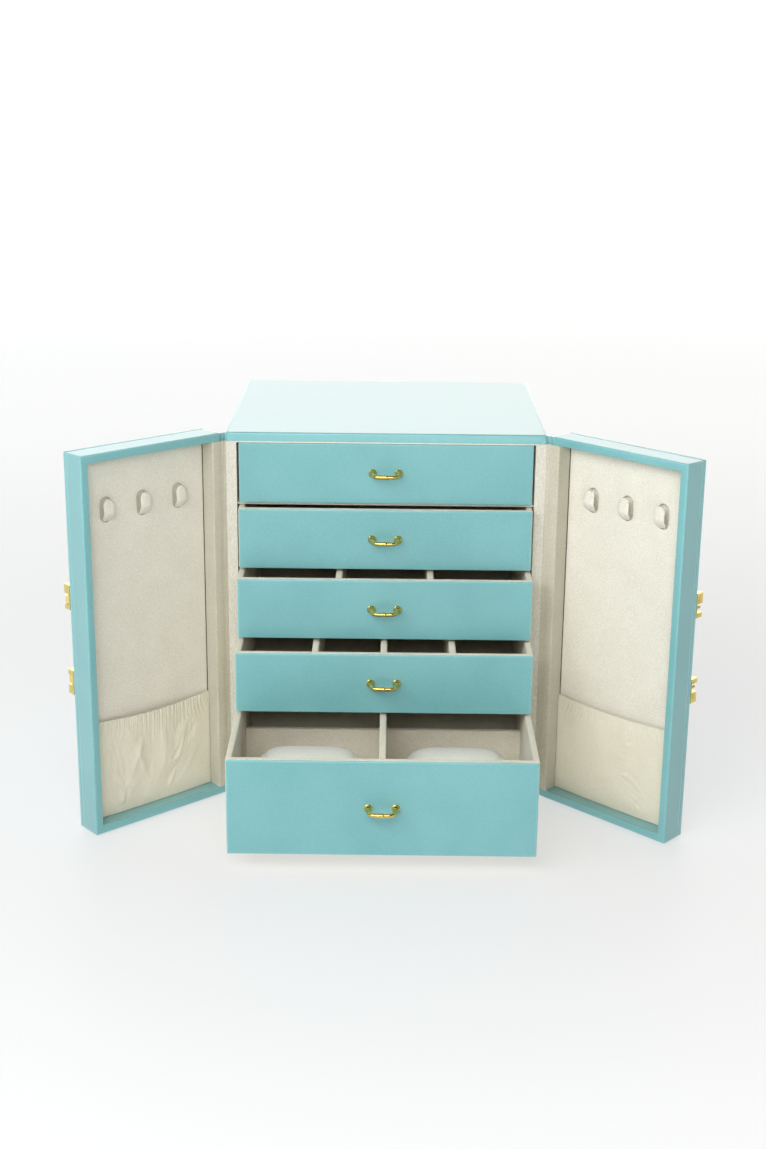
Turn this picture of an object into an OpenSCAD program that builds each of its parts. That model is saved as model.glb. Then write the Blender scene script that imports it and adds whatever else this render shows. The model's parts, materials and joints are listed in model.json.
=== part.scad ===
// Countertop jewelry armoire: a leatherette cabinet with five drawers
// and two tray doors. Millimetres. The front faces -Y and +Z is up.
// The origin is the centre of the cabinet's footprint, on the surface it stands on.

/* [Cabinet] */
// Outside width of the cabinet
cab_w = 250; // [240:1:270]
// Outside depth of the cabinet without its doors
cab_d = 214; // [214:1:230]
// Height from the surface to the top
cab_h = 305; // [305:0.5:312]
// Thickness of the side, top and back boards
board_t = 6.2; // [5:0.1:7]
// Thickness of the base board
base_board_t = 12.7; // [10:0.1:12.7]
// Thickness of the outer leatherette skin
skin_t = 0.8; // [0.5:0.1:1]
// Thickness of the suede lining
lining_t = 1.2; // [0.8:0.1:1.5]
// Thickness of the felt pad under the base
felt_t = 2; // [1:0.5:3]
// Thickness of the shelf boards between drawers
shelf_t = 1.6; // [1:0.1:1.6]

/* [Drawers] */
// Width of a drawer front
drawer_w = 231; // [220:0.5:231]
// Length of a drawer from its face to its back
drawer_l = 191; // [180:1:192]
// Height of the four small drawers
small_h = 48.2; // [40:0.1:48.2]
// Height of the bottom drawer
tall_h = 75.6; // [60:0.1:75.6]
// Gap between one drawer and the next
drawer_gap = 2.6; // [2.6:0.1:4]
// Gap above the top drawer
top_gap = 0.4; // [0.3:0.1:1]
// How far a closed drawer face sits behind the cabinet's front
recess = 12.5; // [12:0.1:13.5]
// Thickness of the leatherette face board
face_t = 2; // [1.5:0.1:3]
// Thickness of the lined drawer walls
drawer_wall = 4.6; // [3:0.1:6]
// Thickness of the drawer floor
floor_t = 2.4; // [1.5:0.1:4]
// Thickness of the compartment dividers
divider_t = 5.2; // [3:0.1:6]
// How far drawer 1 stands forward of fully closed
pull_1 = 11; // [0:1:150]
// How far drawer 2 stands forward of fully closed
pull_2 = 21.4; // [0:0.1:150]
// How far drawer 3 stands forward of fully closed
pull_3 = 42.8; // [0:0.1:150]
// How far drawer 4 stands forward of fully closed
pull_4 = 71.5; // [0:0.1:150]
// How far drawer 5 stands forward of fully closed
pull_5 = 160; // [0:0.1:170]

/* [Doors] */
// Width of one door
door_w = 125.6; // [120:0.1:125.6]
// Overall thickness of a door
door_t = 23.6; // [20:0.1:28]
// Width of the rim round a door's tray
rim_w = 6.6; // [5:0.1:9]
// Depth of the tray inside a door
tray_d = 13.5; // [12:0.1:15]
// Thickness of a door's outer board
panel_t = 4; // [3:0.1:5]
// Height of a door's lower edge above the surface
door_z = 1.5; // [1:0.1:3]
// How far a closed door's rim stands in front of the cabinet
door_gap = 3; // [2:0.1:4]
// Angle at which the left door stands open
open_left = 138; // [86:1:180]
// Angle at which the right door stands open
open_right = 136; // [86:1:180]
// Height of the elastic pocket's top edge above the surface
pocket_top = 90; // [70:1:110]

/* [Fittings] */
// Distance between a handle's feet
handle_span = 20.5; // [16:0.5:32]
// Reach of a handle's bar from the drawer face
handle_reach = 12.4; // [9:0.1:12.4]
// Height of the upper clasp's middle
clasp_high = 191; // [170:1:230]
// Height of the lower clasp's middle
clasp_low = 122; // [80:1:140]
// Height of the necklace hooks' middle
hook_z = 257.5; // [200:0.5:260]
// Distance between neighbouring necklace hooks
hook_pitch = 33; // [24:0.5:36]

/* [Hidden] */

$fn = 48;
eps = 0.01;
teal = "#7ab8b6";
cream = "#dcd8cb";
brass = "#c9a23f";
wood = "#c2a478";
felt_grey = "#4a4a48";

// The cabinet's planes
side_x = cab_w / 2;
front_y = -cab_d / 2;
back_y = cab_d / 2;
wall_t = skin_t + board_t + lining_t;
inner_x = side_x - wall_t;
base_top = felt_t + skin_t + base_board_t + lining_t;
top_under = cab_h - wall_t;
band_h = skin_t + board_t;

// The drawers, from the top down
pulls = [pull_1, pull_2, pull_3, pull_4, pull_5];
heights = [small_h, small_h, small_h, small_h, tall_h];
function drawer_top(k) = top_under - top_gap - (k - 1) * (small_h + drawer_gap);
function drawer_bottom(k) = drawer_top(k) - heights[k - 1];
function face_y(k) = front_y + recess - pulls[k - 1];
wall_in = drawer_w / 2 - drawer_wall;
tray_front = face_t + drawer_wall;
handle_z = 0.5;          // a handle's middle above the middle of its drawer
screw_r = 1;
screw_head_r = 2.4;
screw_head_t = 1.1;
foot_r = 3.3;
bar_r = 1.65;
bend_r = 3.2;

// Compartments
third_x = 36;            // middle of a divider in drawer 3
quarter_x = 53.5;        // middle of an outer divider in drawer 4
partition_y = 128;       // front of the bottom drawer's cross partition, from its face
partition_z = 65;        // height of that partition's top above the surface
pillow = [88, 58, 52];
pillow_y = 66;           // middle of a pillow, from the drawer's face
roll_count = 11;
roll_pitch = 16.3;
roll_r = 7.5;

// The doors, and the vertical axis each one turns about
door_over = 0.8;         // how far a closed door stands out beyond the cabinet's side
axis_out = 2.6;          // axis outside the cabinet's side
axis_fwd = 2.55;         // axis in front of the cabinet's front
hook_w = 11;
hook_h = 19;
hook_t = 1.5;
hook_reach = 6.6;
hook_recess = 3.6;       // depth of the slot in the lining behind each hook
hook_mid = 64;           // middle hook from the hinge end of the door
pocket_in = 0.4;
pocket_d = 8.2;
cloth_t = 1.2;

// Clasps
knuckle_r = 2.2;
pin_r = 0.75;
pin_fit = 0.05;
plate_t = 0.9;
plate_w = 8;
clasp_h = 19.6;
hasp_h = 6.2;
knuckle_gap = 0.4;
top_knuckle_h = 7.2;
low_ear_h = 4;
pin_lift = 5.2;           // knuckle axis above the door's face
clasp_inset = 2.3;       // knuckle axis from the free edge of the left door
keeper_post_r = 1.2;
door_meet = cab_w + 2 * door_over - 2 * door_w;   // gap between the closed doors
hasp_eye = 2 * clasp_inset + door_meet;           // from a hasp's pin to its eye
hasp_l = hasp_eye + 3.2;
rivet_r = 0.85;
rivet_inset = 2.2;       // rivets from the plate's long edge
plate_rivets = [-5.2, 5.2];
keeper_rivets = [-7.6, 7.8];

module block(low, high) {
    translate(low) cube(high - low);
}

// ---------------------------------------------------------------- cabinet

module outer_wrap() {
    color(teal) difference() {
        block([-side_x, front_y, felt_t], [side_x, back_y, cab_h]);
        block([-side_x + skin_t, front_y + skin_t, felt_t + skin_t],
              [side_x - skin_t, back_y - skin_t, cab_h - skin_t]);
        block([-side_x - 1, front_y - 1, felt_t + skin_t + base_board_t],
              [side_x + 1, front_y + lining_t, cab_h - band_h]);
    }
}

module top_panel() {
    color(wood) block([-side_x + skin_t, front_y + skin_t, cab_h - band_h],
                      [side_x - skin_t, back_y - skin_t, cab_h - skin_t]);
}

module base_panel() {
    color(wood) block([-side_x + skin_t, front_y + skin_t, felt_t + skin_t],
                      [side_x - skin_t, back_y - skin_t, felt_t + skin_t + base_board_t]);
}

module side_panel() {
    color(wood) block([side_x - band_h, front_y + lining_t, felt_t + skin_t + base_board_t],
                      [side_x - skin_t, back_y - skin_t, cab_h - band_h]);
}

module side_panel_left() { mirror([1, 0, 0]) side_panel(); }
module side_panel_right() { side_panel(); }

module back_panel() {
    color(wood) block([-side_x + band_h, back_y - band_h, felt_t + skin_t + base_board_t],
                      [side_x - band_h, back_y - skin_t, cab_h - band_h]);
}

// Suede on all five inner faces, turned over the front edges of the side walls
module cabinet_lining() {
    low_z = felt_t + skin_t + base_board_t;
    color(cream) difference() {
        union() {
            block([-side_x + band_h, front_y, low_z], [side_x - band_h, back_y - band_h, cab_h - band_h]);
            for (s = [-1, 1]) scale_x(s)
                block([inner_x, front_y, low_z], [side_x, front_y + lining_t, cab_h - band_h]);
        }
        block([-inner_x, front_y - 1, base_top], [inner_x, back_y - wall_t, top_under]);
    }
}

module scale_x(s) {
    if (s < 0) mirror([1, 0, 0]) children();
    else children();
}

module base_felt() {
    felt_inset = 6;
    color(felt_grey) block([-side_x + felt_inset, front_y + felt_inset, 0],
                           [side_x - felt_inset, back_y - felt_inset, felt_t]);
}

module shelf(k) {
    clear_above = 0.4;
    shelf_set = 4;
    top = drawer_bottom(k) - clear_above;
    color(cream) block([-inner_x, front_y + shelf_set, top - shelf_t], [inner_x, back_y - wall_t, top]);
}

module shelf_1() { shelf(1); }
module shelf_2() { shelf(2); }
module shelf_3() { shelf(3); }
module shelf_4() { shelf(4); }

// ---------------------------------------------------------------- doors

// Left door's own frame: x runs from its hinge end to its free edge,
// y from its rim out to its face, z up from the surface.
module left_door_place(angle) {
    axis_x = -side_x - axis_out;
    axis_y = front_y - axis_fwd;
    translate([axis_x, axis_y, 0]) rotate([0, 0, -angle]) translate([-axis_x, -axis_y, 0])
        translate([-side_x - door_over, front_y - door_gap, 0]) mirror([0, 1, 0]) children();
}

module door_place(side) {
    if (side < 0) left_door_place(open_left) children();
    else mirror([1, 0, 0]) left_door_place(open_right) children();
}

module door_frame(side) {
    color(teal) door_place(side) difference() {
        block([0, 0, door_z], [door_w, door_t - panel_t, cab_h]);
        block([rim_w, -1, door_z + rim_w], [door_w - rim_w, door_t, cab_h - rim_w]);
    }
}

module door_panel(side) {
    color(teal) door_place(side) difference() {
        block([0, door_t - panel_t, door_z], [door_w, door_t, cab_h]);
        at_clasps() for (z = side < 0 ? plate_rivets : keeper_rivets) rivet_hole(rivet_x, z);
    }
}

// A rounded upright slot, drawn in the door's x-z plane and cut towards its face
module upright_slot(w, h, depth) {
    r = w / 2;
    rotate([-90, 0, 0]) linear_extrude(depth) union() {
        translate([0, -h / 2 + r]) circle(r);
        translate([0, h / 2 - r]) circle(r);
        square([w, h - w], center = true);
    }
}

module door_lining(side) {
    color(cream) door_place(side) difference() {
        block([rim_w, tray_d, door_z + rim_w], [door_w - rim_w, door_t - panel_t, cab_h - rim_w]);
        for (n = [-1, 0, 1])
            translate([hook_mid + n * hook_pitch, tray_d - 1, hook_z])
                upright_slot(hook_w - 0.6, hook_h + 1, hook_recess + 1);
    }
}

// Side profile of a hook's tongue: it leaves the board low down, bows out and ends upright.
// a runs from 0 at the foot to 1 at the tip.
crest = 0.45;
function tongue_out(a) = hook_reach
    * (a < crest ? sin(a / crest * 90) : 1 - 0.28 * pow((a - crest) / (1 - crest), 1.6));
function tongue_side(shift) = [for (n = [0 : 14]) let (a = n / 14)
    [-hook_h / 2 + a * hook_h, tongue_out(a) + shift]];
function backwards(list) = [for (n = [len(list) - 1 : -1 : 0]) list[n]];

module hook_outline() {
    neck = 3.5;
    shoulder = -hook_h / 2 + 3;
    translate([0, hook_h / 2 - hook_w / 2]) circle(hook_w / 2);
    translate([-hook_w / 2, shoulder]) square([hook_w, hook_h - hook_w / 2 - 3]);
    polygon([[-neck, -hook_h / 2], [neck, -hook_h / 2], [hook_w / 2, shoulder], [-hook_w / 2, shoulder]]);
}

module hook() {
    foot_d = 3;
    intersection() {
        // profile drawn as [height, distance from the board]
        rotate([0, -90, 0]) translate([0, 0, -hook_w / 2]) linear_extrude(hook_w)
            polygon(concat(tongue_side(0), backwards(tongue_side(hook_t))));
        mirror([0, 1, 0]) rotate([90, 0, 0]) translate([0, 0, -foot_d])
            linear_extrude(hook_reach + hook_t + foot_d + 1) hook_outline();
    }
}

module door_hooks(side) {
    color(cream) door_place(side) for (n = [-1, 0, 1])
        translate([hook_mid + n * hook_pitch, tray_d, hook_z]) {
            mirror([0, 1, 0]) hook();
            block([-2.3, -1, -hook_h / 2 + 0.3], [2.3, hook_recess, -hook_h / 2 + 2.8]);
        }
}

// Elastic pocket: a cloth front with closed sides and bottom, open at the top
module door_pocket(side) {
    left = rim_w + pocket_in;
    right = door_w - rim_w - pocket_in;
    low = door_z + rim_w + pocket_in;
    color(cream) door_place(side) difference() {
        block([left, tray_d - pocket_d, low], [right, tray_d, pocket_top]);
        block([left + cloth_t, tray_d - pocket_d + cloth_t, low + cloth_t],
              [right - cloth_t, tray_d + 1, pocket_top + 1]);
    }
}

module door_left_frame() { door_frame(-1); }
module door_left_panel() { door_panel(-1); }
module door_left_lining() { door_lining(-1); }
module door_left_hooks() { door_hooks(-1); }
module door_left_pocket() { door_pocket(-1); }
module door_right_frame() { door_frame(1); }
module door_right_panel() { door_panel(1); }
module door_right_lining() { door_lining(1); }
module door_right_hooks() { door_hooks(1); }
module door_right_pocket() { door_pocket(1); }

// ------------------------------------------------------- hinge cloth

// A point given in the left door's own frame, in the cabinet's frame
function door_point(u, out, angle) = let (
        px = -door_over + axis_out + u,
        py = -door_gap + axis_fwd - out)
    [-side_x - axis_out + px * cos(angle) + py * sin(angle),
     front_y - axis_fwd - px * sin(angle) + py * cos(angle)];

// A flexible strip between the cabinet's corner and the door's hinge end, as one upright prism
module hinge_strip(points) {
    translate([0, 0, door_z + 0.5]) linear_extrude(cab_h - door_z - 1) polygon(points);
}

// Outer skin strip: from the cabinet's side to the hinge end of the door
module hinge_leather(angle) {
    a = [-side_x - 0.1, front_y + 2.2];
    b = [-side_x - 0.1, front_y + lining_t + 0.2];
    c = door_point(-0.1, 0.9, angle);
    d = door_point(-0.1, 1.9, angle);
    mid = [(b[0] + c[0]) / 2 + 0.3, (b[1] + c[1]) / 2];
    far = [(a[0] + d[0]) / 2 - 0.3, (a[1] + d[1]) / 2 + 0.3];
    color(teal) hinge_strip([a, b, mid, c, d, far]);
}

// Lining strip: in front of the skin strip, between the suede edges
module hinge_lining(angle) {
    a = [-side_x - 0.1, front_y + lining_t - 0.2];
    b = [-side_x - 0.1, front_y];
    c = door_point(-0.1, 0, angle);
    d = door_point(-0.1, 0.7, angle);
    color(cream) hinge_strip([a, b, c, d]);
}

module hinge_leather_left() { hinge_leather(open_left); }
module hinge_leather_right() { mirror([1, 0, 0]) hinge_leather(open_right); }
module hinge_lining_left() { hinge_lining(open_left); }
module hinge_lining_right() { mirror([1, 0, 0]) hinge_lining(open_right); }

// ---------------------------------------------------------------- clasps

// The upper clasp stands one way up and the lower one the other
module at_clasps() {
    translate([0, 0, clasp_high]) children();
    translate([0, 0, clasp_low]) mirror([0, 0, 1]) children();
}

hasp_mid = -clasp_h / 2 + low_ear_h + knuckle_gap + hasp_h / 2;   // middle of the hasp's knuckle
pin_y = door_t + pin_lift;                                // knuckle axis, in the door's frame
pin_x = door_w - clasp_inset;
ear_y = pin_y + knuckle_r;
rivet_x = pin_x - plate_w + rivet_inset;

module rivet_hole(x, z) {
    translate([x, door_t - 2, z]) rotate([-90, 0, 0]) cylinder(r = rivet_r + 0.05, h = plate_t + 3);
}

// Base plate on the left door, with the two ears that hold its pin
module clasp_plate() {
    difference() {
        union() {
            block([pin_x - plate_w, door_t, -clasp_h / 2],
                  [pin_x + knuckle_r, door_t + plate_t, clasp_h / 2]);
            block([pin_x - knuckle_r, door_t, clasp_h / 2 - top_knuckle_h],
                  [pin_x + knuckle_r, ear_y, clasp_h / 2]);
            block([pin_x - knuckle_r, door_t, -clasp_h / 2],
                  [pin_x + knuckle_r, ear_y, -clasp_h / 2 + low_ear_h]);
        }
        translate([pin_x, pin_y, -clasp_h / 2 - 1]) cylinder(r = pin_r, h = clasp_h + 2);
        for (z = plate_rivets) rivet_hole(rivet_x, z);
    }
}

module clasp_plates() {
    color(brass) door_place(-1) at_clasps() clasp_plate();
}

module clasp_pins() {
    color(brass) door_place(-1) at_clasps()
        translate([pin_x, pin_y, -clasp_h / 2]) cylinder(r = pin_r, h = clasp_h);
}

// A rivet through a plate, with a domed head outside
module rivet() {
    rotate([-90, 0, 0]) {
        translate([0, 0, -2]) cylinder(r = rivet_r, h = 2 + plate_t);
        translate([0, 0, plate_t]) intersection() {
            cylinder(r = 1.5, h = 0.7);
            translate([0, 0, -1.2]) sphere(r = 1.95);
        }
    }
}

module clasp_plate_rivets() {
    color(brass) door_place(-1) at_clasps() for (z = plate_rivets)
        translate([rivet_x, door_t, z]) rivet();
}

// Hasp: a knuckle on the pin and a leaf folded back over its plate, with an eye
leaf_t = 0.9;
leaf_y = pin_y - leaf_t / 2;

module hasp(z) {
    color(brass) door_place(-1) translate([pin_x, 0, z]) difference() {
        union() {
            translate([0, pin_y, -hasp_h / 2]) cylinder(r = knuckle_r, h = hasp_h);
            block([-hasp_l, leaf_y, -hasp_h / 2], [0, leaf_y + leaf_t, hasp_h / 2]);
        }
        translate([0, pin_y, -hasp_h]) cylinder(r = pin_r + pin_fit, h = 2 * hasp_h);
        translate([-hasp_eye, leaf_y - 1, 0]) rotate([-90, 0, 0]) cylinder(r = keeper_post_r + 0.4, h = 4);
    }
}

module clasp_hasp_upper() { hasp(clasp_high + hasp_mid); }
module clasp_hasp_lower() { hasp(clasp_low - hasp_mid); }

// Keeper on the right door: a plate with a post for the hasp's eye between two guard lugs
module keeper() {
    post_over = 0.8;      // how far the post comes through the eye
    difference() {
        block([pin_x - plate_w, door_t, -clasp_h / 2],
              [pin_x + knuckle_r, door_t + plate_t, clasp_h / 2]);
        for (z = keeper_rivets) rivet_hole(rivet_x, z);
    }
    translate([pin_x, door_t + plate_t - eps, hasp_mid]) rotate([-90, 0, 0])
        cylinder(r = keeper_post_r, h = leaf_y + leaf_t + post_over - door_t - plate_t);
    block([pin_x - knuckle_r, door_t + plate_t - eps, hasp_mid + hasp_h / 2 + 0.6],
          [pin_x + knuckle_r, ear_y, clasp_h / 2]);
    block([pin_x - knuckle_r, door_t + plate_t - eps, -clasp_h / 2],
          [pin_x + knuckle_r, ear_y, hasp_mid - hasp_h / 2 - 0.6]);
}

module clasp_keepers() {
    color(brass) door_place(1) at_clasps() keeper();
}

module clasp_keeper_rivets() {
    color(brass) door_place(1) at_clasps() for (z = keeper_rivets)
        translate([rivet_x, door_t, z]) rivet();
}

// ---------------------------------------------------------------- drawers

// A drawer's own frame: y = 0 at its face, z = 0 at its bottom edge
module drawer_place(k) {
    translate([0, face_y(k), drawer_bottom(k)]) children();
}

function handle_mid(k) = heights[k - 1] / 2 + handle_z;

module foot_holes(k, r, y0, y1) {
    for (s = [-1, 1]) translate([s * handle_span / 2, y0, handle_mid(k)])
        rotate([-90, 0, 0]) cylinder(r = r, h = y1 - y0);
}

module drawer_front(k) {
    edge = 0.4;
    color(teal) drawer_place(k) difference() {
        block([-drawer_w / 2 + edge, 0, 0], [drawer_w / 2 - edge, face_t, heights[k - 1]]);
        foot_holes(k, screw_r + 0.25, -1, face_t + 1);
    }
}

module drawer_tray(k) {
    color(cream) drawer_place(k) difference() {
        block([-drawer_w / 2, face_t, 0], [drawer_w / 2, drawer_l, heights[k - 1]]);
        block([-wall_in, tray_front, floor_t], [wall_in, drawer_l - drawer_wall, heights[k - 1] + 1]);
        foot_holes(k, screw_r + 0.25, 0, tray_front + 1);
    }
}

// Bow handle: two flared feet and a round bar between them
module drawer_handle(k) {
    bar_y = -handle_reach;
    bow_half = handle_span / 2;
    color(brass) drawer_place(k) translate([0, 0, handle_mid(k)]) difference() {
        union() {
            for (s = [-1, 1]) {
                translate([s * bow_half, 0, 0]) rotate([90, 0, 0]) {
                    cylinder(r = foot_r, h = 0.9);
                    translate([0, 0, 0.9]) sphere_cap();
                    cylinder(r = bar_r, h = handle_reach - bend_r);
                }
                translate([s * (bow_half - bend_r), bar_y + bend_r, 0]) scale_x(s)
                    rotate([0, 0, -90]) rotate_extrude(angle = 90) translate([bend_r, 0]) circle(bar_r);
            }
            translate([-bow_half + bend_r, bar_y, 0]) rotate([0, 90, 0])
                cylinder(r = bar_r, h = handle_span - 2 * bend_r);
            translate([-0.8, bar_y, 0]) rotate([0, 90, 0]) cylinder(r = bar_r + 0.35, h = 1.6);
        }
        foot_holes_local(screw_r + 0.02, 5.5);
    }
}

module sphere_cap() {
    intersection() {
        cylinder(r = foot_r, h = 3);
        translate([0, 0, -0.4]) sphere(r = foot_r);
    }
}

module foot_holes_local(r, depth) {
    for (s = [-1, 1]) translate([s * handle_span / 2, -depth, 0])
        rotate([-90, 0, 0]) cylinder(r = r, h = depth + 1);
}

// Screws from inside the drawer into the handle's feet
module drawer_screws(k) {
    color(brass) drawer_place(k) for (s = [-1, 1])
        translate([s * handle_span / 2, -5, handle_mid(k)]) rotate([-90, 0, 0]) {
            cylinder(r = screw_r, h = 5 + tray_front + 0.2);
            translate([0, 0, 5 + tray_front]) cylinder(r = screw_head_r, h = screw_head_t);
        }
}

module divider(x, y0, y1, top) {
    block([x - divider_t / 2, y0, floor_t], [x + divider_t / 2, y1, top]);
}

module drawer_1_divider() {
    color(cream) drawer_place(1) divider(0, tray_front, drawer_l - drawer_wall, small_h - 0.6);
}

module drawer_3_dividers() {
    color(cream) drawer_place(3) for (x = [-third_x, third_x])
        divider(x, tray_front, drawer_l - drawer_wall, small_h - 0.6);
}

module drawer_4_dividers() {
    color(cream) drawer_place(4) for (x = [-quarter_x, 0, quarter_x])
        divider(x, tray_front, drawer_l - drawer_wall, small_h - 0.6);
}

module drawer_5_dividers() {
    cross_top = partition_z - drawer_bottom(5);
    color(cream) drawer_place(5) {
        divider(0, tray_front, drawer_l - drawer_wall, tall_h - 0.6);
        block([-wall_in, partition_y, floor_t], [wall_in, partition_y + divider_t, cross_top]);
    }
}

// Padded rolls across the top drawer's left half, side by side, for rings
module drawer_1_ring_rolls() {
    roll_z = floor_t + roll_r;
    first_y = tray_front + roll_r + 0.5;
    color(cream) drawer_place(1) for (n = [0 : roll_count - 1])
        translate([-wall_in + 0.4, first_y + n * roll_pitch, roll_z]) rotate([0, 90, 0])
            cylinder(r = roll_r, h = wall_in - divider_t / 2 - 0.8);
}

module watch_pillow(s) {
    mid_x = s * (wall_in + divider_t / 2) / 2;
    corner = 14;
    color(cream) drawer_place(5) translate([mid_x, pillow_y, floor_t])
        linear_extrude(pillow[2]) union() {
            square([pillow[0] - 2 * corner, pillow[1]], center = true);
            square([pillow[0], pillow[1] - 2 * corner], center = true);
            for (x = [-1, 1], y = [-1, 1])
                translate([x * (pillow[0] / 2 - corner), y * (pillow[1] / 2 - corner)]) circle(corner);
        }
}

module watch_pillow_left() { watch_pillow(-1); }
module watch_pillow_right() { watch_pillow(1); }

module drawer_1_front() { drawer_front(1); }
module drawer_1_tray() { drawer_tray(1); }
module drawer_1_handle() { drawer_handle(1); }
module drawer_1_screws() { drawer_screws(1); }
module drawer_2_front() { drawer_front(2); }
module drawer_2_tray() { drawer_tray(2); }
module drawer_2_handle() { drawer_handle(2); }
module drawer_2_screws() { drawer_screws(2); }
module drawer_3_front() { drawer_front(3); }
module drawer_3_tray() { drawer_tray(3); }
module drawer_3_handle() { drawer_handle(3); }
module drawer_3_screws() { drawer_screws(3); }
module drawer_4_front() { drawer_front(4); }
module drawer_4_tray() { drawer_tray(4); }
module drawer_4_handle() { drawer_handle(4); }
module drawer_4_screws() { drawer_screws(4); }
module drawer_5_front() { drawer_front(5); }
module drawer_5_tray() { drawer_tray(5); }
module drawer_5_handle() { drawer_handle(5); }
module drawer_5_screws() { drawer_screws(5); }

outer_wrap();
top_panel();
base_panel();
side_panel_left();
side_panel_right();
back_panel();
cabinet_lining();
base_felt();
shelf_1();
shelf_2();
shelf_3();
shelf_4();
hinge_leather_left();
hinge_leather_right();
hinge_lining_left();
hinge_lining_right();
door_left_frame();
door_left_panel();
door_left_lining();
door_left_hooks();
door_left_pocket();
door_right_frame();
door_right_panel();
door_right_lining();
door_right_hooks();
door_right_pocket();
clasp_plates();
clasp_pins();
clasp_plate_rivets();
clasp_hasp_upper();
clasp_hasp_lower();
clasp_keepers();
clasp_keeper_rivets();
drawer_1_front();
drawer_1_tray();
drawer_1_divider();
drawer_1_ring_rolls();
drawer_1_handle();
drawer_1_screws();
drawer_2_front();
drawer_2_tray();
drawer_2_handle();
drawer_2_screws();
drawer_3_front();
drawer_3_tray();
drawer_3_dividers();
drawer_3_handle();
drawer_3_screws();
drawer_4_front();
drawer_4_tray();
drawer_4_dividers();
drawer_4_handle();
drawer_4_screws();
drawer_5_front();
drawer_5_tray();
drawer_5_dividers();
drawer_5_handle();
drawer_5_screws();
watch_pillow_left();
watch_pillow_right();
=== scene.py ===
import json
import math
import random

import bpy
import bmesh
from mathutils import Matrix, Vector, noise


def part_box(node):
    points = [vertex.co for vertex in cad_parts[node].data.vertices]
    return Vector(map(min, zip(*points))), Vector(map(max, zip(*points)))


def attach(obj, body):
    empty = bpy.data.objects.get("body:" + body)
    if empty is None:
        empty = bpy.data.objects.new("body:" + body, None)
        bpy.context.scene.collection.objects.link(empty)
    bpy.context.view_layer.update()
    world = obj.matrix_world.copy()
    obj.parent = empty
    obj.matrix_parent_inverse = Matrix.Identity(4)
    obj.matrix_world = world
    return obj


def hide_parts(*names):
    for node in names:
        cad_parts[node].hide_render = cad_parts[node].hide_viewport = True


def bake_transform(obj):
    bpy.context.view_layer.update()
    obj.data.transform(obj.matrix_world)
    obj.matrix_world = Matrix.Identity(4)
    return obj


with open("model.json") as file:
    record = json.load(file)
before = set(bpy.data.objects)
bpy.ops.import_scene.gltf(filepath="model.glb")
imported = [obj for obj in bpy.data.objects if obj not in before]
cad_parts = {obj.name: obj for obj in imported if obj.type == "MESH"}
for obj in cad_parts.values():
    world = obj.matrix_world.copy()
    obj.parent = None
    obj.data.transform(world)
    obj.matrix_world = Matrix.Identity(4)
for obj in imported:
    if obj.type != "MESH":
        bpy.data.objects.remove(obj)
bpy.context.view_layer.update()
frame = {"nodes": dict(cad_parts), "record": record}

MM = 0.001
joints = {j["name"]: j for j in frame["record"]["behaviour"]["joints"]}


# ---------------------------------------------------------------- sizes, partly read from the frame

def box_mm(node):
    low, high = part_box(node)
    return low / MM, high / MM


case_low, case_high = box_mm("outer_wrap")
felt_top = box_mm("base_felt")[1].z
top_board_low = box_mm("top_panel")[0]
base_board_high = box_mm("base_panel")[1]

FRONT = case_low.y
BACK = case_high.y
HALF_W = case_high.x
CASE_TOP = case_high.z
SUEDE = 1.2
DRAWER_WALL = 4.6
DRAWER_FLOOR = 2.4
BAND = CASE_TOP - top_board_low.z
INNER_X = HALF_W - BAND - SUEDE
SILL = base_board_high.z
LINTEL = top_board_low.z

# door sizes, in the door's own directions: along from the hinge end, deep from the rim, up
DOOR_W = 125.6
DOOR_T = 23.6
RIM = 6.6
TRAY = 13.5
PANEL = 4.0
door_low, door_high = box_mm("door_left_panel")
DOOR_Z0, DOOR_Z1 = door_low.z, door_high.z
HINGE_IN = 1.8      # from the hinge axis to the hinge end of the door
HINGE_FWD = 0.45    # from the rim plane to the hinge axis


class Door:
    """One door's own directions, turned to the angle at which it stands open."""

    def __init__(self, side):
        self.name = "door_" + side
        self.side = side
        self.hand = -1 if side == "left" else 1
        joint = joints[f"door_{side}_swing"]
        self.axis_x, self.axis_y = (c / MM for c in joint["pos_m"][:2])
        open_angle = math.radians(180 - joint["range_deg"][1])
        c, s = math.cos(open_angle), math.sin(open_angle)
        self.along = Vector((-self.hand * c, -s, 0))
        self.deep = Vector((self.hand * s, -c, 0))

    def at(self, along, deep, up):
        """A point given in the door's own directions, in the frame, in millimetres."""
        start = Vector((self.axis_x, self.axis_y, 0))
        return (start + self.along * (along + HINGE_IN)
                + self.deep * (deep + HINGE_FWD) + Vector((0, 0, up)))


DOORS = [Door("left"), Door("right")]


# ---------------------------------------------------------------- camera

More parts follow.
